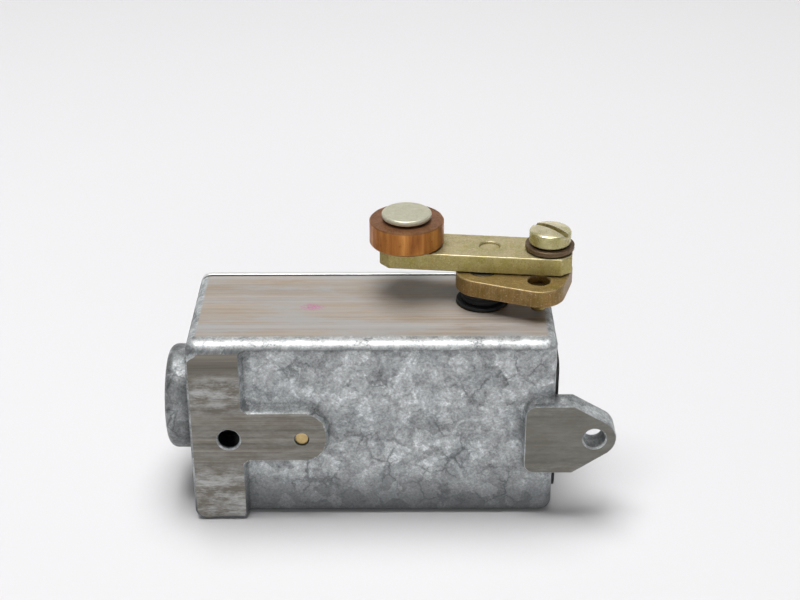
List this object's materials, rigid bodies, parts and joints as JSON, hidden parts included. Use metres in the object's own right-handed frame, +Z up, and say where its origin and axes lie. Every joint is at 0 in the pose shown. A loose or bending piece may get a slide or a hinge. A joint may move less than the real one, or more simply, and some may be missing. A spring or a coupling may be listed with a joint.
{
  "type": "rotary roller-lever limit switch",
  "caption": "Cast limit switch with a side conduit boss, fixing ear and upright shaft, whose two-piece lever carries a bronze roller over the top face.",
  "frame": {"origin": "centre of the case's underside, midway between its two ends and between the bolting side and the back of the cover", "axes": "+X from the conduit boss to the fixing ear, -Y out of the machined bolting side, +Z up along the shaft"},
  "size_m": [0.1081, 0.0404, 0.0699],
  "materials": {
    "cast_metal": "sand-grey as-cast skin, machined where it bolts down",
    "gasket_fibre": "dark fibre sheet",
    "seal_rubber": "matte black",
    "cover_screw_steel": "plated, dull",
    "black_plate": "satin black",
    "rivet_metal": "satin",
    "earth_brass": "satin",
    "bush_bronze": "satin, oiled",
    "shaft_steel": "ground",
    "clip_steel": "black oxide",
    "lever_plated_steel": "yellow chromate, worn pale at the edges",
    "lever_screw_steel": "yellow chromate, glossy",
    "washer_steel": "dark, oily",
    "point_screw_brass": "dull",
    "roller_bronze": "oil-stained bronze",
    "roller_pin_metal": "nickel plated, satin",
    "phenolic": "moulded dark brown",
    "contact_brass": "satin",
    "base_screw_brass": "satin, worn bright on its flush end",
    "spring_steel": "bright wire",
    "terminal_steel": "zinc plated"
  },
  "bodies": {
    "case": {"case": "cast_metal", "cover": "cast_metal", "cover_gasket": "gasket_fibre", "shaft_seal": "seal_rubber", "cover_screw_1": "cover_screw_steel", "cover_screw_2": "cover_screw_steel", "cover_screw_3": "cover_screw_steel", "cover_screw_4": "cover_screw_steel", "end_plate": "black_plate", "end_plate_rivet_1": "rivet_metal", "end_plate_rivet_2": "rivet_metal", "earth_screw": "earth_brass", "shaft_bush": "bush_bronze", "contact_base": "phenolic", "terminal_1": "contact_brass", "terminal_2": "contact_brass", "terminal_3": "contact_brass", "terminal_4": "contact_brass", "contact_base_screw": "base_screw_brass", "return_spring_left": "spring_steel", "return_spring_right": "spring_steel", "earth_washer": "terminal_steel", "terminal_screw_1": "terminal_steel", "terminal_screw_2": "terminal_steel", "terminal_screw_3": "terminal_steel", "terminal_screw_4": "terminal_steel", "terminal_clamp_1": "terminal_steel", "terminal_clamp_2": "terminal_steel", "terminal_clamp_3": "terminal_steel", "terminal_clamp_4": "terminal_steel"},
    "shaft": {"shaft": "shaft_steel", "shaft_clip": "clip_steel", "drive_arm": "shaft_steel", "drive_arm_pin": "shaft_steel", "drive_pin": "shaft_steel", "crank": "lever_plated_steel", "crank_point_screw": "point_screw_brass", "lever_screw": "lever_screw_steel", "lever_washer": "washer_steel"},
    "lever": {"roller_lever": "lever_plated_steel", "roller_pin": "roller_pin_metal"},
    "roller": {"roller": "roller_bronze"},
    "slider": {"contact_slider": "phenolic", "contact_bridge": "contact_brass", "bridge_spring_left": "spring_steel", "bridge_spring_right": "spring_steel"}
  },
  "joints": [
    {"name": "shaft_turn", "type": "hinge", "parent": "case", "child": "shaft", "pos_m": [0.0265, 0.0025, 0], "axis": [0, 0, 1], "range_deg": [-35, 35], "stiffness_Nm_per_rad": 0.12},
    {"name": "lever_set", "type": "hinge", "parent": "shaft", "child": "lever", "pos_m": [0.04254, 0.00475, 0.05745], "axis": [0, 0, 1], "continuous": true},
    {"name": "roller_spin", "type": "hinge", "parent": "lever", "child": "roller", "pos_m": [0.00826, 0.0086, 0.0621], "axis": [0, 0, 1], "continuous": true},
    {"name": "slider_slide", "type": "slide", "parent": "case", "child": "slider", "axis": [1, 0, 0], "range_m": [-0.0038, 0.0038], "deforming": ["return_spring_left", "return_spring_right"]}
  ],
  "couplings": [
    {"joint": "slider_slide", "follows": "shaft_turn", "m_per_rad": 0.0062}
  ]
}
